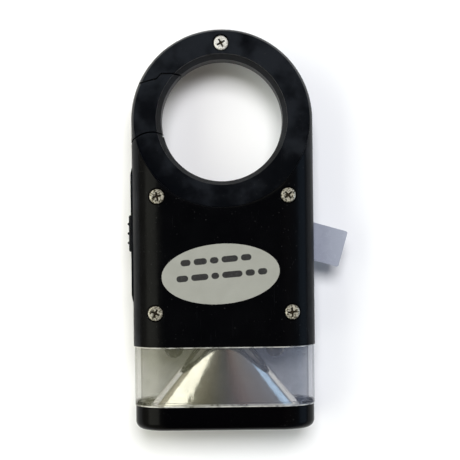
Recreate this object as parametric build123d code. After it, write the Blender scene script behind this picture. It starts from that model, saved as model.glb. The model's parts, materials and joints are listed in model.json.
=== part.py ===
from build123d import *
import os
from math import cos, radians, sin, sqrt, tan

# Clip-on lantern torch with a sprung carabiner eye, in millimetres.
# While it is modelled, X runs across the casing (the switch is on the -X side), Y runs along it
# from the end of the base cap to the top of the eye, and Z runs through its depth from the
# middle, with the screwed rear face at +Z. At the end every piece is placed so that the torch
# lies on its front face, with the origin in the middle of that face.

# Casing
CASING_WIDTH = 47.0
CASING_DEPTH = 21.0
EDGE_ROUND_ACROSS = 9.0
EDGE_ROUND_DEEP = 7.0
WALL = 1.6
WINDOW_LENGTH = 15.3
CAP_LENGTH = 6.2
SEAM_GROOVE = 0.25

# Eye and ring
EYE_R = 15.85
EYE_LIP = 1.1
EYE_LIP_STEP = 1.3
EYE_WALL_DEPTH = 6.0
RING_DEPTH = 13.0
SHOULDER_ROUND = 0.9

# Gate of the carabiner
GATE_GAP = 0.35
GATE_OPEN_ANGLE = 40.0
NOSE_HEIGHT = 11.4
NOSE_STEP = 1.3
NOSE_SLOPE = 14.0
PIVOT_INSET = 2.9
PIVOT_FALL_ANGLE = 29.7
PIVOT_PIN_R = 1.25
PIVOT_PIN_LENGTH = 10.0
PIVOT_RUNNING_CLEARANCE = 0.05
HEEL_R = 6.9
TONGUE_ANGLE = 104.0
TONGUE_WIDTH = 4.4
TONGUE_EYE_R = 3.3
TONGUE_BOTTOM = -2.6
TONGUE_TOP = 0.6
TONGUE_CLEARANCE = 0.3
RIB_WIDTH = 0.9
RIB_START = 4.6
RIB_TOP = 2.9
RIB_CLEARANCE = 0.3
SPRING_WIRE = 0.5
SPRING_COIL_R = 1.95
SPRING_PITCH = 0.55
SPRING_HEEL_LEG = 3.8
SPRING_GATE_LEG = 5.0
SPRING_HEEL_LEG_ANGLE = 62.0
SPRING_GATE_LEG_ANGLE = 90.0

# Slide switch and its knob
SWITCH_HEIGHT = 29.05
SWITCH_TRAVEL = 4.75
PAD_PROUD = 0.4
PAD_DEPTH = 9.0
PAD_ABOVE = 16.85
PAD_BELOW = 17.65
PAD_RAMP = 2.0
RECESS_DEPTH = 0.65
RECESS_RAMP = 1.6
KNOB_LENGTH = 9.5
KNOB_DEPTH = 6.4
KNOB_PROUD = 0.6
KNOB_ROUND = 0.5
KNOB_RIDGES = 3
KNOB_RIDGE_R = 0.35
KNOB_RIDGE_PITCH = 2.45
KNOB_GAP = 0.3
KNOB_RUNNING_GAP = 0.1
STEM_LENGTH = 3.0
STEM_DEPTH = 2.6
KEEPER_LENGTH = 7.0
KEEPER_DEPTH = 5.2
KEEPER_THICKNESS = 1.1
HOUSING_WIDTH = 4.4
HOUSING_LENGTH = 11.0
HOUSING_DEPTH = 4.0
HOUSING_WALL = 0.5
HOUSING_GAP = 0.4
ACTUATOR_SIDE = 1.4
ACTUATOR_REACH = 0.75
ACTUATOR_CLEARANCE = 0.1
TERMINAL_R = 0.3
TERMINAL_PITCH = 2.5
TERMINAL_COUNT = 4
TERMINAL_LENGTH = 2.4

# Circuit board and what is soldered to it
BOARD_BOTTOM = 2.0
BOARD_THICKNESS = 1.6
BOARD_BOSS_GAP = 0.4
BOARD_START = 5.4
BOARD_TOP_GAP = 0.5
BOARD_WING_START = 12.6
BOARD_POST_R = 1.5
BOARD_POST_INSET = 2.2
BOARD_POST_LOW = 12.4
BOARD_POST_HIGH = 32.4
RESISTOR_SIZE = (3.2, 1.6, 0.6)
RESISTOR_PLACES = [(-5.0, 14.0), (5.0, 14.0), (-5.0, 18.0)]

# Coin cells, their contacts and the pull tab
CELL_R = 10.0
CELL_THICKNESS = 3.2
CELL_CAP_R = 8.9
CELL_CAP_HEIGHT = 0.3
CELL_ROUND = 0.4
CELL_X = 3.0
CELL_FOOT = 13.2
CELL_SHOULDER_GAP = 0.768
CELL_CLEARANCE = 0.2
CRADLE_WALL = 1.2
CRADLE_HEIGHT = 3.6
TAB_WIDTH = 9.6
TAB_THICKNESS = 0.3
TAB_OUTSIDE = 8.2
TAB_INSIDE = 19.0
TAB_TILT = -16.0
TAB_HEIGHT = 26.5
TAB_CORNER = 0.5
TAB_CLEARANCE = 0.05
TAB_SLOT_GAP = 0.2
LEAF_WIDTH = 4.0
LEAF_THICKNESS = 0.3
LEAF_OFFSET = (4.5, 5.7)
LEAF_FOOT = 3.0
LEAF_RUN = 8.5
LEAF_CURL = 1.4
LEAF_TAB_GAP = 0.1
STRIP_WIDTH = 5.0
STRIP_THICKNESS = 0.4
STRIP_REACH = 3.0
STRIP_STANDOFF = 2.4

# Lamps and the plate that carries them
LED_R = 2.5
LED_FLANGE_R = 2.9
LED_FLANGE = 1.0
LED_LENGTH = 8.6
LED_INSET = 10.2
LEAD_SIDE = 0.5
LEAD_PITCH = 2.54
LEAD_RISE = 0.6
LEAD_FIRST_BEND = 3.0
LEAD_STAGGER = 2.0
PLATE_THICKNESS = 1.6
PLATE_CLEARANCE = 0.15
PLATE_STOP = 1.2
LED_HOLE_CLEARANCE = 0.1

# Lantern window, reflector, base cap and torch lens
WINDOW_INSET = 0.25
WINDOW_WALL = 1.5
WINDOW_LIP = 0.8
SKIRT_WALL = 1.0
SKIRT_CLEARANCE = 0.1
SKIRT_UP = 2.3
CAP_INSET = 0.4
CAP_FLOOR = 2.2
CAP_END_ROUND = 2.2
LENS_THICKNESS = 2.0
LENS_MARGIN = 1.2
LENS_LEDGE = 1.5
LENS_RECESS = 0.6
LENS_CLEARANCE = 0.1
FLANGE_THICKNESS = 1.0
FLANGE_CLEARANCE = 0.2
REFLECTOR_SIDE_CLEARANCE = 0.7
REFLECTOR_NECK_HALF = 7.6
REFLECTOR_NECK_DEEP = 5.0
REFLECTOR_NECK_GAP = 1.1
REFLECTOR_WALL = 0.9
REFLECTOR_CLEARANCE = 0.4

# Fasteners
SCREW_HEAD_R = 1.95
SCREW_HEAD_HEIGHT = 1.3
SCREW_HEAD_ROUND = 0.55
SCREW_SHANK_R = 1.0
SCREW_HOLE_CLEARANCE = 0.15
SCREW_THREAD_CLEARANCE = 0.03
SCREW_HEAD_CLEARANCE = 0.25
SCREW_SUNK = 0.35
SCREW_END_COVER = 3.5
BOSS_R = 2.6
RECESS_ARM = 2.3
RECESS_SLOT = 0.5
RECESS_SUNK = 0.8
UPPER_SCREW_ANGLE = 49.85
UPPER_SCREW_GAP = 0.67
LOWER_SCREW_INSET = 6.1
LOWER_SCREW_HEIGHT = 8.65
RING_SCREW_TURN = 28.0
CASING_SCREW_TURNS = [12.0, 40.0, 65.0, 5.0]

# Paper label on the rear face
LABEL_LENGTH = 30.0
LABEL_WIDTH = 15.3
LABEL_THICKNESS = 0.1
LABEL_X = -0.7
LABEL_HEIGHT = 18.55
LABEL_TILT = 3.8

# Places that follow from the sizes above
SIDE = CASING_WIDTH / 2
REAR = CASING_DEPTH / 2
BODY_START = CAP_LENGTH + WINDOW_LENGTH
RING_FACE = RING_DEPTH / 2
RING_MIDDLE_R = (SIDE + EYE_R) / 2
EDGE_RISE = (RING_FACE - REAR + EDGE_ROUND_DEEP) / EDGE_ROUND_DEEP
SHOULDER_R = SIDE - EDGE_ROUND_ACROSS * (1 - sqrt(1 - EDGE_RISE**2))
CELL_Y = BODY_START + CELL_FOOT + CELL_R
EYE_Y = CELL_Y + CELL_R + CELL_SHOULDER_GAP + WALL + SHOULDER_R
LENGTH = EYE_Y + SIDE
UPPER_SCREW_R = SHOULDER_R + UPPER_SCREW_GAP + BOSS_R
PIVOT_X = -(SIDE - PIVOT_INSET) * cos(radians(PIVOT_FALL_ANGLE))
PIVOT_Y = EYE_Y - (SIDE - PIVOT_INSET) * sin(radians(PIVOT_FALL_ANGLE))
SLOT_BOTTOM = TONGUE_BOTTOM - TONGUE_CLEARANCE
SLOT_TOP = RIB_TOP + RIB_CLEARANCE
SWITCH_Y = BODY_START + SWITCH_HEIGHT
CELL_TOP = -TAB_THICKNESS / 2 - TAB_CLEARANCE
CELL_BOTTOM = CELL_TOP - 2 * CELL_THICKNESS
CRADLE_R = CELL_R + CELL_CLEARANCE
STRIP_BOTTOM = CELL_BOTTOM - STRIP_THICKNESS
TAB_Y = BODY_START + TAB_HEIGHT
BOARD_TOP = BOARD_BOTTOM + BOARD_THICKNESS
BOARD_LOW_Y = BODY_START + BOARD_START
BOARD_HIGH_Y = EYE_Y - SHOULDER_R - WALL - BOARD_TOP_GAP
BOARD_HALF_WIDTH = SIDE - LOWER_SCREW_INSET - BOSS_R - BOARD_BOSS_GAP
POST_X = BOARD_HALF_WIDTH - BOARD_POST_INSET
LED_X = SIDE - LED_INSET
PLATE_LOW_Y = BODY_START + SKIRT_UP
PLATE_HIGH_Y = PLATE_LOW_Y + PLATE_THICKNESS
FLANGE_LOW_Y = CAP_FLOOR + LENS_THICKNESS
FLANGE_HIGH_Y = FLANGE_LOW_Y + FLANGE_THICKNESS
NECK_Y = BODY_START - REFLECTOR_NECK_GAP
LENS_HALF = SIDE - CAP_INSET - WALL - LENS_MARGIN
LENS_DEEP = REAR - CAP_INSET - WALL - LENS_MARGIN
LOWER_SKIRT_INSET = CAP_INSET + WALL + SKIRT_CLEARANCE
REFLECTOR_BASE_HALF = SIDE - LOWER_SKIRT_INSET - SKIRT_WALL - REFLECTOR_SIDE_CLEARANCE
REFLECTOR_BASE_DEEP = REAR - LOWER_SKIRT_INSET - SKIRT_WALL - REFLECTOR_CLEARANCE
PAD_SIDE = SIDE + PAD_PROUD
RECESS_SIDE = PAD_SIDE - RECESS_DEPTH
WALL_INNER = SIDE - WALL
HOUSING_SIDE = WALL_INNER - KNOB_RUNNING_GAP - KEEPER_THICKNESS - HOUSING_GAP
BIG = 4 * (CASING_WIDTH + CASING_DEPTH)


def along(sketch, start, end):
    """A section in X and Z, drawn out along the casing from start to end."""
    return Pos(0, end, 0) * extrude(Plane.XZ * sketch, end - start)


def deep(sketch, low, high):
    """An outline in X and Y, drawn through the depth from low to high."""
    return Pos(0, 0, low) * extrude(sketch, high - low)


def post(x, y, low, high, radius):
    """A round post through the depth."""
    return deep(Pos(x, y) * Circle(radius), low, high)


def about_eye(profile, angle=360):
    """A profile of (radius, depth), turned about the axis of the eye from +X."""
    return Pos(0, EYE_Y, 0) * revolve(Plane.XZ * profile, Axis.Z, angle)


def about_y(profile):
    """A profile of (radius, height), turned about the length of the casing."""
    return revolve(profile, Axis.Y)


def casing_section(inset):
    """Cross-section of the casing, with elliptical edges, drawn in by inset."""
    half = SIDE - inset
    rise = REAR - inset
    across = EDGE_ROUND_ACROSS - inset
    depth = EDGE_ROUND_DEEP - inset
    quarter = Line((0, rise), (half - across, rise))
    quarter += EllipticalCenterArc((half - across, rise - depth), across, depth, 0, arc_size=90)
    quarter += Line((half, rise - depth), (half, 0))
    upper = quarter + mirror(quarter, Plane.YZ)
    return make_face(upper + mirror(upper, Plane.XZ))


def shoulder_cut():
    """What is taken off one face so that the deep body steps down to the ring."""
    wall_top = REAR - SHOULDER_ROUND
    outer = SHOULDER_R + SHOULDER_ROUND
    outline = Line((0, RING_FACE), (SHOULDER_R, RING_FACE))
    outline += Line((SHOULDER_R, RING_FACE), (SHOULDER_R, wall_top))
    outline += CenterArc((outer, wall_top), SHOULDER_ROUND, 180, -90)
    outline += Line((outer, REAR), (outer, REAR + WALL))
    outline += Line((outer, REAR + WALL), (0, REAR + WALL))
    outline += Line((0, REAR + WALL), (0, RING_FACE))
    above_eye = Pos(0, EYE_Y + SIDE, RING_FACE + REAR / 2) * Box(BIG, 2 * SIDE, REAR)
    return about_eye(make_face(outline)) + above_eye


def eye_cut():
    """The eye, with a stepped and sloping lip on both faces."""
    lip_r = EYE_R + EYE_LIP
    points = [
        (0, 0),
        (EYE_R, 0),
        (EYE_R, EYE_WALL_DEPTH / 2),
        (lip_r, RING_FACE - EYE_LIP_STEP),
        (lip_r, REAR + WALL),
        (0, REAR + WALL),
    ]
    half = make_face(Polyline(points, close=True))
    return about_eye(half + mirror(half, Plane.XZ))


def casing_form(inset=0):
    """Outer form of the casing: a deep body with rounded edges, thinned to a ring at the eye."""
    section = casing_section(inset)
    right_half = section & Pos(BIG / 2, 0) * Rectangle(BIG, BIG)
    form = along(section, BODY_START, EYE_Y) + about_eye(right_half, 180)
    cut = shoulder_cut()
    return form - cut - mirror(cut, Plane.XY)


def nose_line(drop):
    """Joint between gate and ring, from the outer edge inwards, lowered by drop."""
    step_x = -sqrt(RING_MIDDLE_R**2 - NOSE_HEIGHT**2)
    low_x = step_x - NOSE_STEP / 2
    low_y = EYE_Y + NOSE_HEIGHT - NOSE_STEP / 2 - drop
    outer_x = -SIDE - WALL
    outer_y = low_y - (low_x - outer_x) * tan(radians(NOSE_SLOPE))
    high_x = low_x + NOSE_STEP
    high_y = low_y + NOSE_STEP
    return [(outer_x, outer_y), (low_x, low_y), (high_x, high_y), (-EYE_R / 2, high_y)]


def gate_zone(gap):
    """Outline of the part of the ring that swings, drawn in by gap at both ends."""
    points = nose_line(gap) + [(-EYE_R / 2, PIVOT_Y), (-SIDE - WALL, PIVOT_Y)]
    heel = Pos(PIVOT_X, PIVOT_Y) * Circle(HEEL_R + gap)
    return make_face(Polyline(points, close=True)) - heel


def at_pivot(angle):
    """A frame at the gate's pivot with its X along the given direction."""
    return Pos(PIVOT_X, PIVOT_Y) * Rot(0, 0, angle)


def tongue_outline(angle, reach, clearance):
    """The gate's tongue, from its eye out to reach."""
    arm = Pos(reach / 2, 0) * Rectangle(reach, TONGUE_WIDTH + 2 * clearance)
    return at_pivot(angle) * (Circle(TONGUE_EYE_R + clearance) + arm)


def tongue_slot():
    """The room that the tongue sweeps inside the casing."""
    reach = HEEL_R + GATE_GAP
    steps = 5
    shut = tongue_outline(TONGUE_ANGLE, reach, TONGUE_CLEARANCE)
    for step in range(1, steps + 1):
        shut += tongue_outline(TONGUE_ANGLE - GATE_OPEN_ANGLE * step / steps, reach, TONGUE_CLEARANCE)
    return deep(shut, SLOT_BOTTOM, SLOT_TOP)


def carabiner_gate():
    """The swinging part of the ring with the tongue that reaches its pivot."""
    gate = (casing_form() - eye_cut()) & deep(gate_zone(GATE_GAP), -BIG, BIG)
    root = HEEL_R + GATE_GAP + WALL
    tongue = deep(tongue_outline(TONGUE_ANGLE, root, 0), TONGUE_BOTTOM, TONGUE_TOP)
    rib_y = (TONGUE_WIDTH - RIB_WIDTH) / 2
    rib = Pos((RIB_START + root) / 2, rib_y) * Rectangle(root - RIB_START, RIB_WIDTH)
    gate = gate + tongue + deep(at_pivot(TONGUE_ANGLE) * rib, TONGUE_BOTTOM, RIB_TOP)
    return gate - post(PIVOT_X, PIVOT_Y, -BIG, BIG, PIVOT_PIN_R + PIVOT_RUNNING_CLEARANCE)


def gate_pivot_pin():
    return post(PIVOT_X, PIVOT_Y, -PIVOT_PIN_LENGTH / 2, PIVOT_PIN_LENGTH / 2, PIVOT_PIN_R)


def gate_return_spring():
    """Torsion spring on the pivot pin, with one leg on the casing and one on the gate's rib."""
    start_angle = SPRING_HEEL_LEG_ANGLE - 90
    end_angle = SPRING_GATE_LEG_ANGLE + 90
    turns = 2 + (start_angle - end_angle + 360) / 360
    low = TONGUE_TOP + TONGUE_CLEARANCE / 2 + SPRING_WIRE
    coil = Helix(SPRING_PITCH, turns * SPRING_PITCH, SPRING_COIL_R, lefthand=True)
    heel_leg = Line(coil @ 0 - (coil % 0) * SPRING_HEEL_LEG, coil @ 0)
    gate_leg = Line(coil @ 1, coil @ 1 + (coil % 1) * SPRING_GATE_LEG)
    path = Wire([heel_leg.edge(), coil.edge(), gate_leg.edge()])
    wire = sweep(Plane(path @ 0, z_dir=path % 0) * Circle(SPRING_WIRE / 2), path=path)
    return Pos(PIVOT_X, PIVOT_Y, low) * Rot(0, 0, start_angle) * wire


def screw_places():
    """Centre and turn of each screw that holds the body, and the depth of the face it is sunk in."""
    lower_x = SIDE - LOWER_SCREW_INSET
    lower_y = BODY_START + LOWER_SCREW_HEIGHT
    upper_x = UPPER_SCREW_R * cos(radians(UPPER_SCREW_ANGLE))
    upper_y = EYE_Y - UPPER_SCREW_R * sin(radians(UPPER_SCREW_ANGLE))
    corners = [(-upper_x, upper_y), (upper_x, upper_y), (-lower_x, lower_y), (lower_x, lower_y)]
    return [(x, y, turn, REAR) for (x, y), turn in zip(corners, CASING_SCREW_TURNS)]


def ring_screw_place():
    return (0, EYE_Y + RING_MIDDLE_R, RING_SCREW_TURN, RING_FACE)


def all_screw_places():
    return screw_places() + [ring_screw_place()]


def screw_heights(face):
    """Depths of a screw's end, which is short of the front by its cover, and of its head's seat."""
    return -face + SCREW_END_COVER, face - SCREW_SUNK - SCREW_HEAD_HEIGHT


def screw_hole(x, y, face):
    """Counterbore, clearance hole in the rear shell and thread hole in the front shell."""
    end, seat = screw_heights(face)
    hole = post(x, y, end, REAR, SCREW_SHANK_R + SCREW_THREAD_CLEARANCE)
    hole += post(x, y, 0, REAR, SCREW_SHANK_R + SCREW_HOLE_CLEARANCE)
    return hole + post(x, y, seat, REAR, SCREW_HEAD_R + SCREW_HEAD_CLEARANCE)


def screw(x, y, turn, face):
    """Pan-head screw with a cross recess."""
    end, seat = screw_heights(face)
    head = Pos(0, 0, seat + SCREW_HEAD_HEIGHT / 2) * Cylinder(SCREW_HEAD_R, SCREW_HEAD_HEIGHT)
    head = fillet(head.edges().group_by(Axis.Z)[-1], SCREW_HEAD_ROUND)
    top = seat + SCREW_HEAD_HEIGHT
    arm = Pos(0, 0, top - RECESS_SUNK / 2) * Box(RECESS_ARM, RECESS_SLOT, RECESS_SUNK)
    middle = Pos(0, 0, top - RECESS_SUNK / 2) * Cone(RECESS_SLOT / 2, RECESS_SLOT, RECESS_SUNK)
    head = head - arm - Rot(0, 0, 90) * arm - middle
    return Pos(x, y, 0) * Rot(0, 0, turn) * (head + post(0, 0, end, seat, SCREW_SHANK_R))


def switch_pad():
    """Raised pad along the switch side, ramped at both ends."""
    low = SWITCH_Y - PAD_BELOW
    high = SWITCH_Y + PAD_ABOVE
    points = [
        (-WALL_INNER, low),
        (-SIDE, low),
        (-PAD_SIDE, low + PAD_RAMP),
        (-PAD_SIDE, high - PAD_RAMP),
        (-SIDE, high),
        (-WALL_INNER, high),
    ]
    outline = make_face(Polyline(points, close=True))
    band = deep(outline, -PAD_DEPTH / 2, PAD_DEPTH / 2)
    return band & along(casing_section(-PAD_PROUD), low, high)


def knob_cuts():
    """The knob's recess in the pad and the slot that its stem runs in."""
    low = SWITCH_Y - KNOB_LENGTH / 2 - SWITCH_TRAVEL - KNOB_GAP
    high = SWITCH_Y + KNOB_LENGTH / 2 + KNOB_GAP
    outer = PAD_SIDE + KNOB_PROUD
    points = [
        (-outer, low - RECESS_RAMP),
        (-PAD_SIDE, low - RECESS_RAMP),
        (-RECESS_SIDE, low),
        (-RECESS_SIDE, high),
        (-outer, high),
    ]
    recess_depth = KNOB_DEPTH / 2 + KNOB_GAP
    recess = deep(make_face(Polyline(points, close=True)), -recess_depth, recess_depth)
    slot_low = SWITCH_Y - STEM_LENGTH / 2 - SWITCH_TRAVEL - KNOB_GAP
    slot_high = SWITCH_Y + STEM_LENGTH / 2 + KNOB_GAP
    slot_depth = STEM_DEPTH / 2 + KNOB_RUNNING_GAP
    slot = Box(4 * WALL, slot_high - slot_low, 2 * slot_depth)
    return recess + Pos(-SIDE, (slot_low + slot_high) / 2, 0) * slot


def tab_frame():
    """A frame where the tab leaves the casing, with its X along the tab and outwards."""
    return Pos(SIDE, TAB_Y) * Rot(0, 0, TAB_TILT)


def tab_slot():
    """Flat slot at the seam, as long as the tab's stay inside and open at the side."""
    length = TAB_INSIDE + TAB_SLOT_GAP + EDGE_ROUND_ACROSS
    middle = EDGE_ROUND_ACROSS - length / 2
    outline = tab_frame() * Pos(middle, 0) * Rectangle(length, TAB_WIDTH + 2 * TAB_SLOT_GAP)
    half_depth = TAB_THICKNESS / 2 + TAB_SLOT_GAP
    return deep(outline, -half_depth, half_depth)


def battery_pull_tab():
    """Insulating film between the cells and their spring, which is pulled out before use."""
    film = RectangleRounded(TAB_OUTSIDE + TAB_INSIDE, TAB_WIDTH, TAB_CORNER)
    outline = tab_frame() * Pos((TAB_OUTSIDE - TAB_INSIDE) / 2, 0) * film
    return deep(outline, -TAB_THICKNESS / 2, TAB_THICKNESS / 2)


def cell_places():
    """Lowest depth of the front and the rear cell."""
    return [CELL_BOTTOM, CELL_BOTTOM + CELL_THICKNESS]


def coin_cell(bottom):
    """Coin cell with its smaller negative cap towards the rear."""
    can_height = CELL_THICKNESS - CELL_CAP_HEIGHT
    can = Pos(0, 0, can_height / 2) * Cylinder(CELL_R, can_height)
    can = fillet(can.edges().filter_by(GeomType.CIRCLE), CELL_ROUND)
    cap = post(0, 0, can_height, CELL_THICKNESS, CELL_CAP_R)
    return Pos(CELL_X, CELL_Y, bottom) * (can + cap)


def cell_cradle():
    """Ring and floor on the front shell that hold the cells and the strip under them."""
    floor = post(CELL_X, CELL_Y, -REAR, STRIP_BOTTOM, CRADLE_R + CRADLE_WALL)
    top = CELL_BOTTOM + CRADLE_HEIGHT
    wall = post(CELL_X, CELL_Y, -REAR, top, CRADLE_R + CRADLE_WALL)
    wall -= post(CELL_X, CELL_Y, -BIG, BIG, CRADLE_R)
    notch_width = STRIP_WIDTH + 2 * CELL_CLEARANCE
    notch = Box(4 * CRADLE_WALL, notch_width, BIG)
    return floor + (wall - Pos(CELL_X - CRADLE_R, CELL_Y, STRIP_BOTTOM + BIG / 2) * notch)


def positive_contact_strip():
    """Strip under the cells that rises to the board."""
    rise_x = CELL_X - CRADLE_R - CRADLE_WALL - STRIP_STANDOFF
    path = Polyline(
        (CELL_X + STRIP_REACH, STRIP_BOTTOM + STRIP_THICKNESS / 2),
        (rise_x, STRIP_BOTTOM + STRIP_THICKNESS / 2),
        (rise_x, BOARD_BOTTOM),
    )
    section = trace(path, STRIP_THICKNESS)
    return along(section, CELL_Y - STRIP_WIDTH / 2, CELL_Y + STRIP_WIDTH / 2)


def negative_contact_spring():
    """Leaf soldered under the board that presses on the rear cell through the tab's place."""
    touch_y = CELL_Y + LEAF_OFFSET[1]
    touch_z = TAB_THICKNESS / 2 + LEAF_TAB_GAP + LEAF_THICKNESS / 2
    foot_z = BOARD_BOTTOM - LEAF_THICKNESS / 2
    path = Polyline(
        (touch_y - LEAF_RUN - LEAF_FOOT, foot_z),
        (touch_y - LEAF_RUN, foot_z),
        (touch_y, touch_z),
        (touch_y + LEAF_CURL, touch_z + LEAF_CURL / 2),
    )
    section = Plane.YZ * trace(path, LEAF_THICKNESS)
    x = CELL_X + LEAF_OFFSET[0] - LEAF_WIDTH / 2
    return Pos(x, 0, 0) * extrude(section, LEAF_WIDTH)


def led_places():
    """Sideways place of each lamp."""
    return {"lantern_led_left": -LED_X, "torch_led": 0.0, "lantern_led_right": LED_X}


def led(x):
    """Round lamp with its dome towards the base and its flange on the carrier plate."""
    back = LED_FLANGE
    straight = LED_LENGTH - LED_R
    outline = Line((0, back), (LED_FLANGE_R, back))
    outline += Line((LED_FLANGE_R, back), (LED_FLANGE_R, 0))
    outline += Line((LED_FLANGE_R, 0), (LED_R, 0))
    outline += Line((LED_R, 0), (LED_R, back - straight))
    outline += CenterArc((0, back - straight), LED_R, 0, -90)
    outline += Line((0, back - LED_LENGTH), (0, back))
    return Pos(x, PLATE_HIGH_Y, 0) * about_y(make_face(outline))


def lead_places():
    """Place of each lead where it rises through the board: x, y and the depth it comes from."""
    back = PLATE_HIGH_Y + LED_FLANGE
    places = []
    for x in led_places().values():
        for row, z in enumerate((LEAD_PITCH / 2, -LEAD_PITCH / 2)):
            places.append((x, back + LEAD_FIRST_BEND + row * LEAD_STAGGER, z))
    return places


def led_leads():
    """The lamps' leads, each bent up through the board."""
    back = PLATE_HIGH_Y + LED_FLANGE
    high = BOARD_TOP + LEAD_RISE
    leads = []
    for x, y, z in lead_places():
        run = Pos(x, (back + y) / 2, z) * Box(LEAD_SIDE, y - back, LEAD_SIDE)
        low = z - LEAD_SIDE / 2
        rise = Pos(x, y, (low + high) / 2) * Box(LEAD_SIDE, LEAD_SIDE, high - low)
        leads.append(run + rise)
    return Compound(children=leads)


def led_carrier_plate():
    plate = along(casing_section(WALL + PLATE_CLEARANCE), PLATE_LOW_Y, PLATE_HIGH_Y)
    for x in led_places().values():
        hole = Rot(90, 0, 0) * Cylinder(LED_R + LED_HOLE_CLEARANCE, 4 * PLATE_THICKNESS)
        plate -= Pos(x, PLATE_LOW_Y, 0) * hole
    return plate


def housing_box():
    """Centre and size of the slide switch's housing."""
    x = -HOUSING_SIDE + HOUSING_WIDTH / 2
    y = SWITCH_Y - SWITCH_TRAVEL / 2
    z = BOARD_BOTTOM - HOUSING_DEPTH / 2
    return Vector(x, y, z), (HOUSING_WIDTH, HOUSING_LENGTH, HOUSING_DEPTH)


def slide_switch_housing():
    """Hollow housing with a slot for the actuator."""
    centre, size = housing_box()
    inner = [length - 2 * HOUSING_WALL for length in size]
    housing = Box(*size) - Box(*inner)
    slot_length = SWITCH_TRAVEL + ACTUATOR_SIDE + 2 * ACTUATOR_CLEARANCE
    slot = Box(4 * HOUSING_WALL, slot_length, ACTUATOR_SIDE + 2 * ACTUATOR_CLEARANCE)
    return Pos(*centre) * (housing - Pos(-size[0] / 2, 0, 0) * slot)


def slide_switch_actuator():
    """The lever that the knob pushes, with its foot inside the housing."""
    centre, size = housing_box()
    left = centre.X - size[0] / 2
    tip = left - HOUSING_GAP - ACTUATOR_REACH
    foot_x = left + HOUSING_WALL + ACTUATOR_CLEARANCE
    foot_depth = size[2] - 2 * HOUSING_WALL - 2 * ACTUATOR_CLEARANCE
    lever = Box(foot_x - tip, ACTUATOR_SIDE, ACTUATOR_SIDE)
    foot = Box(ACTUATOR_SIDE, 2 * ACTUATOR_SIDE, foot_depth)
    lever = Pos((tip + foot_x) / 2, SWITCH_Y, centre.Z) * lever
    return lever + Pos(foot_x + ACTUATOR_SIDE / 2, SWITCH_Y, centre.Z) * foot


def terminal_places():
    centre, _ = housing_box()
    first = centre.Y - TERMINAL_PITCH * (TERMINAL_COUNT - 1) / 2
    return [(centre.X, first + TERMINAL_PITCH * number) for number in range(TERMINAL_COUNT)]


def slide_switch_terminals():
    high = BOARD_BOTTOM + TERMINAL_LENGTH
    pins = [post(x, y, BOARD_BOTTOM, high, TERMINAL_R) for x, y in terminal_places()]
    return Compound(children=pins)


def switch_knob():
    """Ridged knob outside the casing, with a stem and a keeper plate inside it."""
    inner = RECESS_SIDE + KNOB_RUNNING_GAP
    outer = PAD_SIDE + KNOB_PROUD
    cap = Pos(-(inner + outer) / 2, 0, 0) * Box(outer - inner, KNOB_LENGTH, KNOB_DEPTH)
    cap = fillet(cap.edges().group_by(Axis.X)[0], KNOB_ROUND)
    for number in range(KNOB_RIDGES):
        offset = (number - (KNOB_RIDGES - 1) / 2) * KNOB_RIDGE_PITCH
        cap += Pos(-outer, offset, 0) * Cylinder(KNOB_RIDGE_R, KNOB_DEPTH - 2 * KNOB_ROUND)
    keeper_outer = WALL_INNER - KNOB_RUNNING_GAP
    keeper_inner = keeper_outer - KEEPER_THICKNESS
    keeper = Box(KEEPER_THICKNESS, KEEPER_LENGTH, KEEPER_DEPTH)
    keeper = Pos(-(keeper_outer + keeper_inner) / 2, 0, 0) * keeper
    stem = Pos(-(keeper_outer + inner) / 2, 0, 0) * Box(inner - keeper_outer, STEM_LENGTH, STEM_DEPTH)
    socket = ACTUATOR_SIDE + 2 * ACTUATOR_CLEARANCE
    centre, _ = housing_box()
    lever_room = Box(2 * (ACTUATOR_REACH + ACTUATOR_CLEARANCE), socket, socket)
    knob = cap + stem + keeper - Pos(-keeper_inner, 0, centre.Z) * lever_room
    return Pos(0, SWITCH_Y, 0) * knob


def board_outline():
    """Board between the bosses, with wings that reach the switch and the other side."""
    wing_low = BODY_START + BOARD_WING_START
    middle = Rectangle(2 * BOARD_HALF_WIDTH, BOARD_HIGH_Y - BOARD_LOW_Y)
    wings = Rectangle(2 * HOUSING_SIDE, BOARD_HIGH_Y - wing_low)
    outline = Pos(0, (BOARD_LOW_Y + BOARD_HIGH_Y) / 2) * middle
    outline += Pos(0, (wing_low + BOARD_HIGH_Y) / 2) * wings
    for x, y, _, _ in screw_places():
        outline -= Pos(x, y) * Circle(BOSS_R + BOARD_TOP_GAP)
    return outline


def circuit_board():
    board = deep(board_outline(), BOARD_BOTTOM, BOARD_TOP)
    for x, y, _ in lead_places():
        board -= Pos(x, y, BOARD_TOP) * Box(LEAD_SIDE, LEAD_SIDE, BIG)
    for x, y in terminal_places():
        board -= post(x, y, -BIG, BIG, TERMINAL_R)
    return board


def resistors():
    z = BOARD_TOP + RESISTOR_SIZE[2] / 2
    chips = [Pos(x, BODY_START + y, z) * Box(*RESISTOR_SIZE) for x, y in RESISTOR_PLACES]
    return Compound(children=chips)


def board_posts(low, high):
    """Posts that hold the board from one side."""
    low_y = BODY_START + BOARD_POST_LOW
    high_y = BODY_START + BOARD_POST_HIGH
    places = [(-POST_X, low_y), (POST_X, low_y), (-POST_X, high_y)]
    posts = [post(x, y, low, high, BOARD_POST_R) for x, y in places]
    return posts[0] + posts[1] + posts[2]


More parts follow.
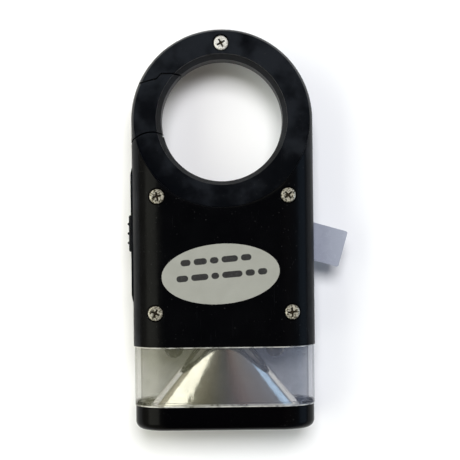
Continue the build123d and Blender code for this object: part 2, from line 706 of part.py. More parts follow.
def casing():
    """Both shells in one, hollow, with bosses, seats and openings, before they are parted."""
    form = casing_form() + switch_pad()
    hollow = along(casing_section(WALL), BODY_START, EYE_Y)
    hollow -= post(0, EYE_Y, -BIG, BIG, SHOULDER_R + WALL)
    stop = casing_section(WALL) - casing_section(WALL + PLATE_STOP)
    inside = along(stop, PLATE_HIGH_Y, PLATE_HIGH_Y + PLATE_STOP)
    inside += board_posts(BOARD_TOP, REAR) + cell_cradle()
    for x, y, _, _ in screw_places():
        inside += post(x, y, -REAR, REAR, BOSS_R)
    body = form - (hollow - inside)
    for x, y, _, face in all_screw_places():
        body -= screw_hole(x, y, face)
    body -= eye_cut()
    body -= deep(gate_zone(0), -BIG, BIG)
    body -= tongue_slot()
    body -= gate_pivot_pin()
    body -= knob_cuts()
    body -= tab_slot()
    return body


def seam_groove():
    """Shallow groove where the shells meet."""
    outside = deep(Pos(0, LENGTH / 2) * Rectangle(BIG, BIG), -SEAM_GROOVE / 2, SEAM_GROOVE / 2)
    return outside - casing_form(SEAM_GROOVE)


def shells():
    """The casing parted at its middle into the rear and the front shell."""
    body = casing()
    groove = seam_groove()
    rear = body & (Pos(0, 0, BIG / 2) * Box(BIG, BIG, BIG))
    front = body & (Pos(0, 0, -BIG / 2) * Box(BIG, BIG, BIG))
    return rear - groove, front - groove + board_posts(-REAR + WALL / 2, BOARD_BOTTOM)


def lantern_window():
    """Clear band between the body and the base, with a lip and a skirt into each."""
    lip_low = CAP_LENGTH + WINDOW_LIP
    lip_high = BODY_START - WINDOW_LIP
    upper_skirt_inset = WALL + SKIRT_CLEARANCE
    band = along(casing_section(WINDOW_INSET), CAP_LENGTH, BODY_START)
    band -= along(casing_section(WINDOW_INSET + WINDOW_WALL), lip_low, lip_high)
    band += along(casing_section(upper_skirt_inset), BODY_START, PLATE_LOW_Y)
    band += along(casing_section(LOWER_SKIRT_INSET), FLANGE_HIGH_Y, CAP_LENGTH)
    band -= along(casing_section(upper_skirt_inset + SKIRT_WALL), lip_high, PLATE_LOW_Y)
    return band - along(casing_section(LOWER_SKIRT_INSET + SKIRT_WALL), FLANGE_HIGH_Y, lip_low)


def reflector_form(wall, low, high):
    """Oval cone of the reflector, drawn in by wall, between two places along the casing."""
    base_half = REFLECTOR_BASE_HALF - wall
    base_deep = REFLECTOR_BASE_DEEP - wall
    neck_half = REFLECTOR_NECK_HALF - wall
    neck_deep = REFLECTOR_NECK_DEEP - wall
    base = Plane.XZ.offset(-low) * Ellipse(base_half, base_deep)
    neck = Plane.XZ.offset(-high) * Ellipse(neck_half, neck_deep)
    return loft([base, neck])


def reflector():
    """Metallised cone: a lantern reflector outside and a torch reflector inside."""
    flange_inset = CAP_INSET + WALL + FLANGE_CLEARANCE
    flange = along(casing_section(flange_inset), FLANGE_LOW_Y, FLANGE_HIGH_Y)
    cone = reflector_form(0, FLANGE_HIGH_Y, NECK_Y)
    hollow = reflector_form(REFLECTOR_WALL, FLANGE_HIGH_Y, NECK_Y - REFLECTOR_WALL)
    mouth = Ellipse(REFLECTOR_BASE_HALF - REFLECTOR_WALL, REFLECTOR_BASE_DEEP - REFLECTOR_WALL)
    lamp_hole = Rot(90, 0, 0) * Cylinder(LED_R + LED_HOLE_CLEARANCE, 4 * REFLECTOR_WALL)
    cone = flange + cone - hollow - along(mouth, 0, FLANGE_HIGH_Y)
    return cone - Pos(0, NECK_Y, 0) * lamp_hole


def base_cap():
    """Gloss cap at the base, open above, with a ledged hole for the lens in its floor."""
    cap = along(casing_section(CAP_INSET), 0, CAP_LENGTH)
    cap = fillet(cap.edges().group_by(Axis.Y)[0], CAP_END_ROUND)
    cap -= along(casing_section(CAP_INSET + WALL), CAP_FLOOR, CAP_LENGTH)
    opening = Ellipse(LENS_HALF - LENS_LEDGE, LENS_DEEP - LENS_LEDGE)
    return cap - along(opening, -CAP_FLOOR, CAP_FLOOR)


def torch_lens():
    """Oval lens, stepped so that it drops into the hole from inside."""
    plate = along(Ellipse(LENS_HALF, LENS_DEEP), CAP_FLOOR, CAP_FLOOR + LENS_THICKNESS)
    step = LENS_LEDGE + LENS_CLEARANCE
    return plate + along(Ellipse(LENS_HALF - step, LENS_DEEP - step), LENS_RECESS, CAP_FLOOR)


def rear_label():
    """Oval paper label that follows the rear face."""
    height = BODY_START + LABEL_HEIGHT
    skin = casing_section(-LABEL_THICKNESS) - casing_section(0)
    sheet = along(skin, height - LABEL_LENGTH, height + LABEL_LENGTH)
    outline = Pos(LABEL_X, height) * Rot(0, 0, LABEL_TILT) * Ellipse(LABEL_LENGTH / 2, LABEL_WIDTH / 2)
    return sheet & deep(outline, 0, BIG)


def build():
    """Every sub-part by name, in the modelling frame."""
    rear_shell, front_shell = shells()
    front_cell, rear_cell = cell_places()
    nodes = {
        "rear_shell": rear_shell,
        "front_shell": front_shell,
        "carabiner_gate": carabiner_gate(),
        "gate_pivot_pin": gate_pivot_pin(),
        "gate_return_spring": gate_return_spring(),
        "switch_knob": switch_knob(),
        "slide_switch_housing": slide_switch_housing(),
        "slide_switch_actuator": slide_switch_actuator(),
        "slide_switch_terminals": slide_switch_terminals(),
        "circuit_board": circuit_board(),
        "resistors": resistors(),
        "coin_cell_front": coin_cell(front_cell),
        "coin_cell_rear": coin_cell(rear_cell),
        "positive_contact_strip": positive_contact_strip(),
        "negative_contact_spring": negative_contact_spring(),
        "battery_pull_tab": battery_pull_tab(),
        "led_leads": led_leads(),
        "led_carrier_plate": led_carrier_plate(),
        "reflector": reflector(),
        "lantern_window": lantern_window(),
        "base_cap": base_cap(),
        "torch_lens": torch_lens(),
        "casing_screws": Compound(children=[screw(*place) for place in screw_places()]),
        "ring_screw": screw(*ring_screw_place()),
        "rear_label": rear_label(),
    }
    for name, x in led_places().items():
        nodes[name] = led(x)
    return nodes


os.makedirs("parts", exist_ok=True)
for name, shape in build().items():
    export_step(Pos(0, -LENGTH / 2, REAR) * shape, f"parts/{name}.step")
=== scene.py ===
"""Looks of the clip-on lantern torch: materials, small inner details, floor, light and camera."""
import json
import math

import bmesh
import bpy
from mathutils import Matrix, Vector


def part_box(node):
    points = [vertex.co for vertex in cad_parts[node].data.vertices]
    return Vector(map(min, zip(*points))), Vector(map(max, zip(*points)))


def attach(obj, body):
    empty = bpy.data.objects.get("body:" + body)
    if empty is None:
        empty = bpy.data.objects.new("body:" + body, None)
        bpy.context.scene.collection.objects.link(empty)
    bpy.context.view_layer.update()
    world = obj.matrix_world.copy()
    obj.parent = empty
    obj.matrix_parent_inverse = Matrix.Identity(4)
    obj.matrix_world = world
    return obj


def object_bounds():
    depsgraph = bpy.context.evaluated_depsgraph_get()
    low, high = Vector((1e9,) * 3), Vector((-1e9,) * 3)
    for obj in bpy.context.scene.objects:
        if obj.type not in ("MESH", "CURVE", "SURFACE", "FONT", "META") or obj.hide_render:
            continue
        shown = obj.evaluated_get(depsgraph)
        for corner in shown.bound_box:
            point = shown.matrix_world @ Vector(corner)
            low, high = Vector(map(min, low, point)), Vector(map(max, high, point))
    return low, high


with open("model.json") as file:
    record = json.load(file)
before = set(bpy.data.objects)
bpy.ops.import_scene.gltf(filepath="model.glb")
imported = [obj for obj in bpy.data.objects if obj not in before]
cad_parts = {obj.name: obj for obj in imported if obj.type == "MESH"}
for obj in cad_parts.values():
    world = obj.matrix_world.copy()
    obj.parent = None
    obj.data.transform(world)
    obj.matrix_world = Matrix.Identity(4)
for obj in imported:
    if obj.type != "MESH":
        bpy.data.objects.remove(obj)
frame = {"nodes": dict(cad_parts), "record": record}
cad_low, cad_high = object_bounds()
NODES = frame["nodes"]
ROOT = "casing"
MM = 0.001

rear_low, rear_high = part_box("rear_shell")
label_low, label_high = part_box("rear_label")
cap_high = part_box("base_cap")[1]
TOP_Z = rear_high.z
WINDOW_MID_Y = (cap_high.y + rear_low.y) / 2
WINDOW_HALF = (rear_low.y - cap_high.y) / 2
CASING_HEADS_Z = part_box("casing_screws")[1].z
RING_HEAD_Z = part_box("ring_screw")[1].z

BAR_TILT_DEGREES = 4.8
BAR_WIDTH = 1.6 * MM
BAR_GAP = 0.75 * MM
BAR_THICKNESS = 0.003 * MM
BAR_SUNK = 0.002 * MM
CUP_SIDE = 0.35 * MM
CUP_FROM_BACK = 5.4 * MM
FLOOR_DROP = 0.01 * MM
FLOOR_HALF = 3.0
LIGHT_AIM = (0, 0, 0.01)
WALL_GREY = 0.93
LENS_MM = 90.3
SENSOR_MM = 36.0
CAMERA_PLACE = (0.0018, -0.00044, 0.3135)
CAMERA_ROLL_DEGREES = -0.68


# ---------------------------------------------------------------- node helpers
class Graph:
    """Short way to build a material's nodes."""

    def __init__(self, name):
        self.material = bpy.data.materials.new(name)
        self.material.use_nodes = True
        self.tree = self.material.node_tree
        self.tree.nodes.clear()
        self.out = self.tree.nodes.new("ShaderNodeOutputMaterial")
        self.where = self.tree.nodes.new("ShaderNodeTexCoord").outputs["Object"]

    def node(self, kind, settings=None, **inputs):
        made = self.tree.nodes.new(kind)
        for key, value in (settings or {}).items():
            setattr(made, key, value)
        for key, value in inputs.items():
            self.put(made.inputs[key.replace("_", " ")], value)
        return made

    def put(self, socket, value):
        if isinstance(value, bpy.types.NodeSocket):
            self.tree.links.new(value, socket)
        else:
            socket.default_value = value

    def math(self, operation, a, b=None, clamp=False):
        made = self.node("ShaderNodeMath", {"operation": operation, "use_clamp": clamp})
        self.put(made.inputs[0], a)
        if b is not None:
            self.put(made.inputs[1], b)
        return made.outputs[0]

    def scaled(self, scale):
        """Object coordinates, stretched by scale per metre."""
        made = self.node("ShaderNodeMapping", None, Vector=self.where)
        made.inputs["Scale"].default_value = scale
        return made.outputs["Vector"]

    def noise(self, size_mm, detail=3.0, rough=0.55, stretch=(1, 1, 1)):
        """Noise with features of about size_mm."""
        scale = tuple(s / (size_mm * MM) for s in stretch)
        made = self.node("ShaderNodeTexNoise", None, Vector=self.scaled(scale), Scale=1.0)
        made.inputs["Detail"].default_value = detail
        made.inputs["Roughness"].default_value = rough
        return made.outputs["Fac"]

    def axis(self, name):
        made = self.node("ShaderNodeSeparateXYZ", None, Vector=self.where)
        return made.outputs[name]

    def between(self, value, low, high, to_low=0.0, to_high=1.0, smooth=True):
        """Value from low..high turned into to_low..to_high, held outside."""
        kind = "SMOOTHSTEP" if smooth else "LINEAR"
        made = self.node("ShaderNodeMapRange", {"interpolation_type": kind, "clamp": True})
        self.put(made.inputs["Value"], value)
        for key, number in (("From Min", low), ("From Max", high), ("To Min", to_low), ("To Max", to_high)):
            self.put(made.inputs[key], number)
        return made.outputs["Result"]

    def mix(self, share, a, b):
        """Colour a where share is 0 and b where it is 1."""
        made = self.node("ShaderNodeMix", {"data_type": "RGBA"})
        self.put(made.inputs[0], share)
        self.put(made.inputs[6], a)
        self.put(made.inputs[7], b)
        return made.outputs[2]

    def bump(self, height, strength, distance_mm, under=None):
        made = self.node("ShaderNodeBump", None, Height=height, Strength=strength)
        made.inputs["Distance"].default_value = distance_mm * MM
        if under is not None:
            self.put(made.inputs["Normal"], under)
        return made.outputs["Normal"]

    def soft_edges(self, radius_mm):
        made = self.node("ShaderNodeBevel", {"samples": 6})
        made.inputs["Radius"].default_value = radius_mm * MM
        return made.outputs["Normal"]

    def shader(self, **inputs):
        made = self.node("ShaderNodeBsdfPrincipled", None, **inputs)
        self.tree.links.new(made.outputs[0], self.out.inputs["Surface"])
        return made


def rgb(red, green, blue):
    return (red, green, blue, 1.0)


# ---------------------------------------------------------------- materials
def black_abs():
    """Satin moulded ABS: fine spark-eroded grain, hairline scratches, dust, and a painted sheen on the ring
    face, lighter towards the top.
    """
    g = Graph("black_abs")
    grain = g.noise(0.16, 2.0, 0.6)
    mottle = g.noise(5.0, 4.0, 0.6)
    wide = g.noise(17.0, 2.0, 0.5)
    # Painted sheen on the ring face: brighter than the body, lighter towards the top and in broad patches.
    sheen_towards_top = g.between(g.axis("Y"), 14 * MM, 40 * MM, -0.07, 0.07)
    ring_sheen = g.between(g.math("ADD", g.noise(9.0, 3.0, 0.6), sheen_towards_top), 0.36, 0.64)
    scratches = g.noise(0.35, 2.0, 0.7, (1.0, 0.035, 1.0))
    hairline = g.between(scratches, 0.66, 0.72)
    on_ring = g.between(g.axis("Z"), TOP_Z - 3.2 * MM, TOP_Z - 2.2 * MM, 1.0, 0.0)
    dust_spots = g.noise(0.5, 1.0, 0.4)
    dust = g.between(dust_spots, 0.735, 0.76)
    base = g.mix(mottle, rgb(0.0008, 0.0009, 0.0013), rgb(0.0016, 0.0018, 0.0024))
    ring = g.mix(ring_sheen, rgb(0.0012, 0.0016, 0.0026), rgb(0.0115, 0.0135, 0.0175))
    ring = g.mix(g.math("MULTIPLY", mottle, 0.5), ring, rgb(0.0045, 0.0055, 0.0075))
    color = g.mix(on_ring, base, ring)
    color = g.mix(g.math("MULTIPLY", hairline, 0.12), color, rgb(0.02, 0.021, 0.024))
    color = g.mix(g.math("MULTIPLY", dust, 0.16), color, rgb(0.08, 0.08, 0.08))
    rough = g.between(wide, 0.35, 0.65, 0.20, 0.26)
    rough = g.math("ADD", rough, g.between(mottle, 0.3, 0.7, -0.02, 0.04))
    rough = g.math("ADD", rough, g.math("MULTIPLY", on_ring, 0.12))
    normal = g.bump(grain, 0.05, 0.02, g.soft_edges(0.14))
    normal = g.bump(mottle, 0.06, 0.05, normal)
    normal = g.bump(hairline, 0.06, 0.01, normal)
    shader = g.shader(Base_Color=color, Roughness=rough, Normal=normal)
    shader.inputs["IOR"].default_value = 1.5
    shader.inputs["Specular IOR Level"].default_value = 0.07
    return g.material


def black_gloss():
    """Polished black ABS with faint sinks, fine rubbing marks and a few specks."""
    g = Graph("black_gloss")
    sink = g.noise(9.0, 1.0, 0.4)
    rub = g.noise(0.22, 2.0, 0.7, (0.05, 1.0, 1.0))
    specks = g.between(g.noise(0.35, 1.0, 0.4), 0.74, 0.77)
    marks = g.between(rub, 0.62, 0.74)
    color = g.mix(g.math("MULTIPLY", specks, 0.3), rgb(0.0008, 0.0008, 0.0012), rgb(0.05, 0.05, 0.05))
    rough = g.math("ADD", g.between(sink, 0.3, 0.7, 0.16, 0.22), g.math("MULTIPLY", marks, 0.06))
    normal = g.bump(sink, 0.12, 0.1, g.soft_edges(0.16))
    normal = g.bump(marks, 0.04, 0.01, normal)
    shader = g.shader(Base_Color=color, Roughness=rough, Normal=normal)
    shader.inputs["Specular IOR Level"].default_value = 0.07
    return g.material


def clear_plastic(name, warm_light_left, cool_light_right, alpha_left, alpha_right, rough):
    """Thin clear moulding: light passes, gloss stays; flow lines and scratches, with painted light: a warm
    tint to the left, a cool tint to the right, a painted highlight along each end and a painted dark rim
    where seen edge-on.
    """
    g = Graph(name)
    flow = g.noise(2.4, 2.0, 0.5, (1.0, 0.18, 1.0))
    haze = g.noise(4.0, 3.0, 0.6)
    lines = g.between(g.noise(0.25, 1.0, 0.6, (0.06, 1.0, 1.0)), 0.66, 0.72)
    across = g.between(g.axis("X"), -9 * MM, 9 * MM)
    # Painted light: a warm tint on the left side of the window and a cool tint on the right.
    color = g.mix(across, rgb(*warm_light_left), rgb(*cool_light_right))
    see = g.between(across, 0.0, 1.0, alpha_left, alpha_right)
    see = g.math("ADD", see, g.between(haze, 0.3, 0.7, -0.02, 0.03))
    see = g.math("ADD", see, g.math("MULTIPLY", lines, 0.05))
    from_middle = g.math("ABSOLUTE", g.math("SUBTRACT", g.axis("Y"), WINDOW_MID_Y))
    # Painted highlight: a pale, more opaque band along each end edge of the window.
    end_highlight = g.between(from_middle, WINDOW_HALF - 0.42 * MM, WINDOW_HALF - 0.24 * MM)
    end_highlight = g.math("MULTIPLY", end_highlight, g.between(from_middle, WINDOW_HALF, WINDOW_HALF + 0.1 * MM, 1.0, 0.0))
    end_highlight = g.math("MULTIPLY", end_highlight, g.between(flow, 0.35, 0.6, 0.45, 1.0))
    color = g.mix(end_highlight, color, rgb(0.60, 0.60, 0.57))
    see = g.math("ADD", see, g.math("MULTIPLY", end_highlight, 0.55), clamp=True)
    # Painted shade: darker and more opaque where the surface is seen edge-on, standing in for refraction.
    edge_on_shade = g.between(g.node("ShaderNodeLayerWeight").outputs["Facing"], 0.80, 0.97)
    color = g.mix(edge_on_shade, color, rgb(0.10, 0.10, 0.105))
    see = g.math("ADD", see, g.math("MULTIPLY", edge_on_shade, 0.5), clamp=True)
    roughness = g.between(haze, 0.3, 0.7, rough, rough + 0.05)
    normal = g.bump(flow, 0.10, 0.06, g.soft_edges(0.12))
    normal = g.bump(lines, 0.05, 0.01, normal)
    shader = g.shader(Base_Color=color, Roughness=roughness, Normal=normal, Alpha=see)
    shader.inputs["IOR"].default_value = 1.49
    return g.material


def metallised(name):
    """Vacuum-metallised cone: near mirror, with drawn ripples."""
    g = Graph(name)
    ripple = g.noise(0.9, 3.0, 0.6, (1.0, 0.30, 1.0))
    waves = g.noise(3.2, 2.0, 0.5, (1.0, 0.45, 1.0))
    haze = g.noise(2.0, 3.0, 0.6)
    color = g.mix(haze, rgb(0.78, 0.76, 0.72), rgb(0.90, 0.88, 0.85))
    rough = g.between(haze, 0.3, 0.7, 0.07, 0.17)
    normal = g.bump(ripple, 0.30, 0.05)
    normal = g.bump(waves, 0.26, 0.12, normal)
    shader = g.shader(Base_Color=color, Roughness=rough, Normal=normal)
    shader.inputs["Metallic"].default_value = 1.0
    return g.material


def plated(name, dark, light, low_rough, high_rough, grain_mm, stretch=(1, 1, 1)):
    """Plated or plain steel with turning marks and stain."""
    g = Graph(name)
    stain = g.noise(0.7, 3.0, 0.6)
    marks = g.noise(grain_mm, 2.0, 0.7, stretch)
    color = g.mix(stain, rgb(*dark), rgb(*light))
    rough = g.math(
        "ADD", g.between(stain, 0.3, 0.7, low_rough, high_rough), g.between(marks, 0.4, 0.7, 0.0, 0.08)
    )
    normal = g.bump(marks, 0.22, 0.02, g.soft_edges(0.05))
    shader = g.shader(Base_Color=color, Roughness=rough, Normal=normal)
    shader.inputs["Metallic"].default_value = 1.0
    return g.material


def screw_steel():
    """Zinc screws: the top ring screw painted bright as a painted highlight, the casing screws lower down
    darker, with painted shade down in the cross recess.
    """
    g = Graph("screw_steel")
    stain = g.between(g.noise(0.5, 3.0, 0.65), 0.36, 0.62)
    marks = g.noise(0.18, 2.0, 0.7)
    # Painted highlight: the top (ring) screw gets a much brighter zinc than the casing screws below it.
    casing_zinc = g.mix(stain, rgb(0.07, 0.06, 0.035), rgb(0.60, 0.58, 0.50))
    highlit_zinc = g.mix(stain, rgb(0.86, 0.85, 0.80), rgb(0.95, 0.95, 0.93))
    up = g.between(g.axis("Y"), 30 * MM, 40 * MM)
    color = g.mix(up, casing_zinc, highlit_zinc)
    # Painted shade: darker more than 0.1 mm below the head top, down in the cross recess and at the head's
    # lower rim.
    head_top = g.between(up, 0.0, 1.0, CASING_HEADS_Z, RING_HEAD_Z, smooth=False)
    sunk = g.math("SUBTRACT", head_top, g.axis("Z"))
    depth = g.between(sunk, 0.10 * MM, 0.40 * MM)
    recess_shade = g.math("MULTIPLY", depth, g.between(stain, 0.25, 0.5, 0.75, 1.0))
    color = g.mix(recess_shade, color, rgb(0.030, 0.022, 0.012))
    rough = g.between(stain, 0.3, 0.7, 0.22, 0.38)
    normal = g.bump(marks, 0.35, 0.04, g.soft_edges(0.07))
    shader = g.shader(Base_Color=color, Roughness=rough, Normal=normal)
    shader.inputs["Metallic"].default_value = 0.5
    return g.material


def paper():
    """Coated label paper with fibres and a slight sheen."""
    g = Graph("label_paper")
    fibre = g.noise(0.22, 3.0, 0.7, (1.0, 0.5, 1.0))
    cloud = g.noise(3.5, 3.0, 0.55)
    color = g.mix(cloud, rgb(0.26, 0.265, 0.240), rgb(0.31, 0.316, 0.292))
    color = g.mix(g.between(fibre, 0.58, 0.75, 0.0, 0.30), color, rgb(0.18, 0.18, 0.165))
    normal = g.bump(fibre, 0.18, 0.02)
    g.shader(Base_Color=color, Roughness=g.between(cloud, 0.3, 0.7, 0.42, 0.55), Normal=normal)
    return g.material


def print_ink():
    """Matt black ink of the label's bars, a little uneven."""
    g = Graph("print_ink")
    patch = g.noise(0.25, 3.0, 0.7)
    color = g.mix(g.between(patch, 0.45, 0.8), rgb(0.015, 0.015, 0.017), rgb(0.06, 0.06, 0.06))
    g.shader(Base_Color=color, Roughness=g.between(patch, 0.3, 0.7, 0.5, 0.65))
    return g.material


def pull_film():
    """Bluish translucent polyester film with rub marks."""
    g = Graph("pull_film")
    haze = g.noise(3.0, 3.0, 0.6)
    rub = g.between(g.noise(0.3, 2.0, 0.7, (0.1, 1.0, 1.0)), 0.62, 0.72)
    color = g.mix(haze, rgb(0.31, 0.335, 0.415), rgb(0.36, 0.385, 0.47))
    rough = g.math("ADD", g.between(haze, 0.3, 0.7, 0.22, 0.34), g.math("MULTIPLY", rub, 0.1))
    normal = g.bump(haze, 0.12, 0.08)
    shader = g.shader(Base_Color=color, Roughness=rough, Normal=normal)
    shader.inputs["Alpha"].default_value = 0.93
    shader.inputs["Specular IOR Level"].default_value = 0.4
    return g.material


def plain_plastic(name, dark, light, rough):
    """Inner moulded plastic, board mask or housing: grain and slight colour drift."""
    g = Graph(name)
    grain = g.noise(0.25, 2.0, 0.6)
    cloud = g.noise(3.0, 3.0, 0.6)
    color = g.mix(cloud, rgb(*dark), rgb(*light))
    normal = g.bump(grain, 0.15, 0.02, g.soft_edges(0.08))
    g.shader(Base_Color=color, Roughness=g.between(cloud, 0.3, 0.7, rough, rough + 0.1), Normal=normal)
    return g.material


def led_epoxy():
    """Water-clear epoxy of a round lamp, slightly grey and full of glints, with a painted dark rim where
    seen edge-on.
    """
    g = Graph("led_epoxy")
    haze = g.noise(1.4, 3.0, 0.6)
    # Painted shade: a dark, more opaque rim where the dome is seen edge-on, standing in for refraction.
    rim_shade = g.node("ShaderNodeLayerWeight").outputs["Facing"]
    rim_shade = g.between(rim_shade, 0.22, 0.65)
    color = g.mix(haze, rgb(0.02, 0.02, 0.02), rgb(0.10, 0.10, 0.105))
    color = g.mix(rim_shade, color, rgb(0.006, 0.006, 0.007))
    see = g.between(rim_shade, 0.0, 1.0, 0.62, 1.0)
    normal = g.bump(haze, 0.10, 0.05)
    rough = g.between(haze, 0.3, 0.7, 0.03, 0.08)
    shader = g.shader(Base_Color=color, Roughness=rough, Normal=normal, Alpha=see)
    shader.inputs["IOR"].default_value = 1.52
    return g.material


MATERIALS = {
    "black_abs": black_abs(),
    "black_gloss": black_gloss(),
    # The window's warm left and cool right tints below are painted light.
    "clear_plastic": clear_plastic(
        "clear_plastic", (0.185, 0.185, 0.125), (0.165, 0.18, 0.24), 0.19, 0.19, 0.05
    ),
    "led_epoxy": led_epoxy(),
    "mirror_plating": metallised("mirror_plating"),
    "plated_steel": screw_steel(),
    "spring_steel": plated("spring_steel", (0.30, 0.29, 0.28), (0.52, 0.51, 0.49), 0.28, 0.42, 0.12),
    "nickel_strip": plated(
        "nickel_strip", (0.50, 0.47, 0.42), (0.68, 0.65, 0.60), 0.22, 0.36, 0.2, (1, 0.1, 1)
    ),
    "cell_steel": plated("cell_steel", (0.55, 0.55, 0.54), (0.74, 0.74, 0.72), 0.20, 0.32, 0.15),
    "board": plain_plastic("board", (0.012, 0.09, 0.03), (0.02, 0.13, 0.05), 0.28),
    "component": plain_plastic("component", (0.02, 0.02, 0.02), (0.045, 0.045, 0.045), 0.4),
    "switch_metal": plated(
        "switch_metal", (0.45, 0.45, 0.44), (0.62, 0.62, 0.6), 0.24, 0.38, 0.2, (1, 0.2, 1)
    ),
    "switch_plastic": plain_plastic("switch_plastic", (0.01, 0.01, 0.01), (0.03, 0.03, 0.03), 0.45),
    "white_plastic": plain_plastic("white_plastic", (0.42, 0.42, 0.40), (0.56, 0.56, 0.53), 0.35),
    "pull_film": pull_film(),
    "label_paper": paper(),
}
for part in frame["record"]["subparts"]:
    mesh = NODES[part["node"]].data
    mesh.materials.clear()
    mesh.materials.append(MATERIALS[part["material_slot"]])


# ---------------------------------------------------------------- extra pieces
def piece(name, bm, material, body):
    mesh = bpy.data.meshes.new(name)
    bm.to_mesh(mesh)
    bm.free()
    made = bpy.data.objects.new(name, mesh)
    bpy.context.scene.collection.objects.link(made)
    mesh.materials.append(material)
    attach(made, body)
    return made


def rounded_bar(bm, centre, length, width, height, turn):
    """A flat bar with rounded ends, printed proud by height."""
    steps = 6
    corners = []
    for end in (1, -1):
        for step in range(steps + 1):
            angle = -math.pi / 2 + math.pi * step / steps
            x = end * (length / 2 - width / 2 + math.cos(angle) * width / 2)
            corners.append((x, end * math.sin(angle) * width / 2))
    spin = Matrix.Rotation(turn, 3, "Z")
    low = [bm.verts.new(centre + spin @ Vector((x, y, 0))) for x, y in corners]
    high = [bm.verts.new(centre + spin @ Vector((x, y, height))) for x, y in corners]
    bm.faces.new(high)
    bm.faces.new(low[::-1])
    for a in range(len(low)):
        b = (a + 1) % len(low)
        bm.faces.new((low[a], low[b], high[b], high[a]))


def label_bars():
    """Two rows of plain bars on the label, where such labels carry print."""
    tilt = math.radians(BAR_TILT_DEGREES)
    centre = (label_low + label_high) / 2
    spin = Matrix.Rotation(tilt, 3, "Z")
    bm = bmesh.new()
    rows = [
        (3.6 * MM, -9.9 * MM, [2.6, 3.4, 2.2, 4.2, 2.7]),
        (-0.35 * MM, -11.3 * MM, [3.0, 4.4, 2.0, 5.2, 2.4, 2.4]),
    ]
    for height, start, lengths in rows:
        x = start
        for length in lengths:
            place = centre + spin @ Vector((x + length * MM / 2, height, 0))
            place.z = label_high.z - BAR_SUNK
            rounded_bar(bm, place, length * MM, BAR_WIDTH, BAR_THICKNESS, tilt)
            x += length * MM + BAR_GAP
    return piece("label_bars", bm, print_ink(), ROOT)


def lathe(bm, centre, profile, sides=28):
    """Profile of (radius, length) turned about Y through centre."""
    rings = []
    for radius, length in profile:
        if radius < 1e-7:
            rings.append([bm.verts.new(centre + Vector((0, length, 0)))])
            continue
        ring = []
        for k in range(sides):
            angle = 2 * math.pi * k / sides
            ring.append(
                bm.verts.new(centre + Vector((radius * math.cos(angle), length, radius * math.sin(angle))))
            )
        rings.append(ring)
    for low, high in zip(rings, rings[1:]):
        for k in range(sides):
            n = (k + 1) % sides
            corners = [low[k % len(low)], low[n % len(low)], high[n % len(high)], high[k % len(high)]]
            kept = []
            for corner in corners:
                if corner not in kept:
                    kept.append(corner)
            if len(kept) > 2:
                bm.faces.new(kept)


def tapered_box(bm, centre, half, taper=1.0):
    """A box whose far end (+Y) is scaled by taper, with slightly broken edges."""
    made = bmesh.ops.create_cube(bm, size=2.0)["verts"]
    for vert in made:
        share = taper if vert.co.y > 0 else 1.0
        vert.co = Vector((vert.co.x * half[0] * share, vert.co.y * half[1], vert.co.z * half[2] * share))
        vert.co += centre
    edges = list({edge for vert in made for edge in vert.link_edges})
    bmesh.ops.bevel(bm, geom=edges, offset=min(half) * 0.3, segments=2, affect="EDGES", profile=0.5)


def lamp_insides():
    """Anvil with its reflector cup, the thin post and the phosphor dot inside each lamp."""
    metal = MATERIALS["nickel_strip"]
    glow = Graph("phosphor")
    patch = glow.noise(0.3, 3.0, 0.6)
    glow.shader(
        Base_Color=glow.mix(patch, rgb(0.60, 0.50, 0.06), rgb(0.78, 0.68, 0.15)),
        Roughness=glow.between(patch, 0.3, 0.7, 0.4, 0.6),
    )
    for name in ("lantern_led_left", "torch_led", "lantern_led_right"):
        low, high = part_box(name)
        middle = (low + high) / 2
        back = high.y
        frame_metal = bmesh.new()
        cup_mouth = back - CUP_FROM_BACK
        lathe(
            frame_metal,
            Vector((middle.x - CUP_SIDE, 0, middle.z)),
            [
                (0.0, cup_mouth + 0.45 * MM),
                (0.40 * MM, cup_mouth + 0.40 * MM),
                (0.85 * MM, cup_mouth),
                (1.00 * MM, cup_mouth + 0.02 * MM),
                (0.95 * MM, cup_mouth + 0.9 * MM),
                (0.55 * MM, cup_mouth + 2.2 * MM),
                (0.25 * MM, cup_mouth + 3.4 * MM),
                (0.0, cup_mouth + 3.45 * MM),
            ],
        )
        anvil = Vector((middle.x - 0.3 * MM, back - 1.6 * MM, middle.z + 0.9 * MM))
        tapered_box(frame_metal, anvil, (0.45 * MM, 1.2 * MM, 0.22 * MM), 0.7)
        post = Vector((middle.x + 0.9 * MM, back - 2.9 * MM, middle.z - 0.3 * MM))
        tapered_box(frame_metal, post, (0.24 * MM, 2.3 * MM, 0.22 * MM), 1.0)
        piece(name + "_frame", frame_metal, metal, ROOT)
        dot = bmesh.new()
        lathe(
            dot,
            Vector((middle.x - CUP_SIDE, 0, middle.z)),
            [
                (0.0, cup_mouth - 0.05 * MM),
                (0.45 * MM, cup_mouth + 0.02 * MM),
                (0.80 * MM, cup_mouth + 0.12 * MM),
                (0.38 * MM, cup_mouth + 0.38 * MM),
                (0.0, cup_mouth + 0.42 * MM),
            ],
        )
        piece(name + "_phosphor", dot, glow.material, ROOT)


label_bars()
lamp_insides()


# ---------------------------------------------------------------- floor
def studio_floor():
    bm = bmesh.new()
    bmesh.ops.create_grid(bm, x_segments=2, y_segments=2, size=FLOOR_HALF)
    mesh = bpy.data.meshes.new("floor")
    bm.to_mesh(mesh)
    bm.free()
    floor = bpy.data.objects.new("floor", mesh)
    floor.location.z = cad_low.z - FLOOR_DROP
    bpy.context.scene.collection.objects.link(floor)
    g = Graph("floor_white")
    g.shader(Base_Color=rgb(0.93, 0.94, 0.965), Roughness=0.9)
    mesh.materials.append(g.material)


studio_floor()


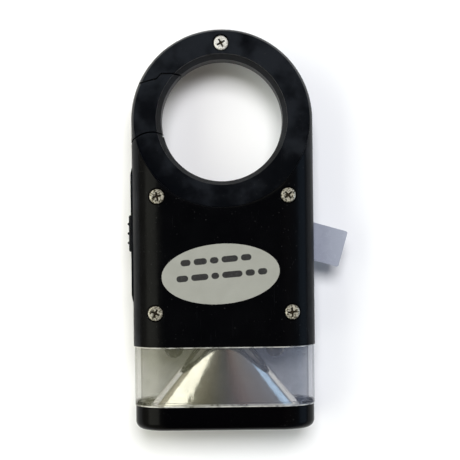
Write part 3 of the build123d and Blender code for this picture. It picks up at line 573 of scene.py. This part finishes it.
# ---------------------------------------------------------------- light
def area_light(name, place, size, power, color, mirrored=True):
    data = bpy.data.lights.new(name, "AREA")
    data.shape = "RECTANGLE"
    data.size, data.size_y = size
    data.energy = power
    data.color = color
    lamp = bpy.data.objects.new(name, data)
    lamp.location = place
    lamp.rotation_mode = "QUATERNION"
    toward = Vector(LIGHT_AIM) - Vector(place)
    lamp.rotation_quaternion = toward.to_track_quat("-Z", "Y")
    lamp.visible_glossy = mirrored
    bpy.context.scene.collection.objects.link(lamp)
    return lamp


def sky():
    """Soft room: dark overhead, warm to the left and cool to the right; seen directly, a plain wall."""
    world = bpy.data.worlds.new("room")
    bpy.context.scene.world = world
    world.use_nodes = True
    tree = world.node_tree
    tree.nodes.clear()
    out = tree.nodes.new("ShaderNodeOutputWorld")
    back = tree.nodes.new("ShaderNodeBackground")
    coord = tree.nodes.new("ShaderNodeTexCoord")
    split = tree.nodes.new("ShaderNodeSeparateXYZ")
    angle = tree.nodes.new("ShaderNodeMath")
    angle.operation = "ARCTAN2"
    span = tree.nodes.new("ShaderNodeMapRange")
    span.inputs["From Min"].default_value = -math.pi / 2
    span.inputs["From Max"].default_value = math.pi / 2
    ramp = tree.nodes.new("ShaderNodeValToRGB")
    tree.links.new(coord.outputs["Generated"], split.inputs[0])
    tree.links.new(split.outputs["X"], angle.inputs[0])
    tree.links.new(split.outputs["Z"], angle.inputs[1])
    tree.links.new(angle.outputs[0], span.inputs["Value"])
    tree.links.new(span.outputs["Result"], ramp.inputs["Fac"])
    path = tree.nodes.new("ShaderNodeLightPath")
    wall = tree.nodes.new("ShaderNodeMix")
    wall.data_type = "RGBA"
    wall.inputs[7].default_value = rgb(WALL_GREY, WALL_GREY, WALL_GREY)
    tree.links.new(path.outputs["Is Camera Ray"], wall.inputs[0])
    tree.links.new(ramp.outputs["Color"], wall.inputs[6])
    tree.links.new(wall.outputs[2], back.inputs["Color"])
    tree.links.new(back.outputs[0], out.inputs["Surface"])
    stops = [
        (-90, (0.42, 0.39, 0.31)),
        (-70, (0.72, 0.68, 0.53)),
        (-60, (0.72, 0.68, 0.53)),
        (-34, (0.44, 0.42, 0.33)),
        (-24, (0.26, 0.25, 0.19)),
        (-17, (0.130, 0.112, 0.082)),
        (-11, (0.050, 0.035, 0.010)),
        (-3, (0.004, 0.001, 0.000)),
        (2, (0.016, 0.003, 0.000)),
        (7, (0.080, 0.030, 0.016)),
        (12, (0.165, 0.098, 0.074)),
        (20, (0.225, 0.180, 0.145)),
        (35, (0.22, 0.205, 0.185)),
        (52, (0.24, 0.26, 0.29)),
        (90, (0.34, 0.40, 0.50)),
    ]
    elements = ramp.color_ramp.elements
    while len(elements) > 1:
        elements.remove(elements[-1])
    for number, (degrees, color) in enumerate(stops):
        place = (degrees + 90) / 180
        element = elements[0] if number == 0 else elements.new(place)
        element.position = place
        element.color = (*color, 1.0)
    back.inputs["Strength"].default_value = 1.0


sky()
area_light("key", (0.06, 0.34, 0.94), (0.45, 0.35), 8.3, (1.0, 0.995, 1.0), mirrored=False)
area_light("left_softbox", (-0.515, 0.0, 0.530), (0.9, 0.43), 2.7, (0.985, 1.0, 0.865))
area_light("right_window", (0.78, 0.0, 0.33), (0.9, 0.40), 1.45, (0.46, 0.71, 1.0))


# ---------------------------------------------------------------- camera
def camera():
    data = bpy.data.cameras.new("camera")
    data.lens = LENS_MM
    data.sensor_width = SENSOR_MM
    data.clip_start = 0.01
    data.clip_end = 10.0
    made = bpy.data.objects.new("camera", data)
    made.location = CAMERA_PLACE
    made.rotation_euler = (0, 0, math.radians(CAMERA_ROLL_DEGREES))
    bpy.context.scene.collection.objects.link(made)
    bpy.context.scene.camera = made


camera()
bpy.context.scene.view_settings.view_transform = "Standard"
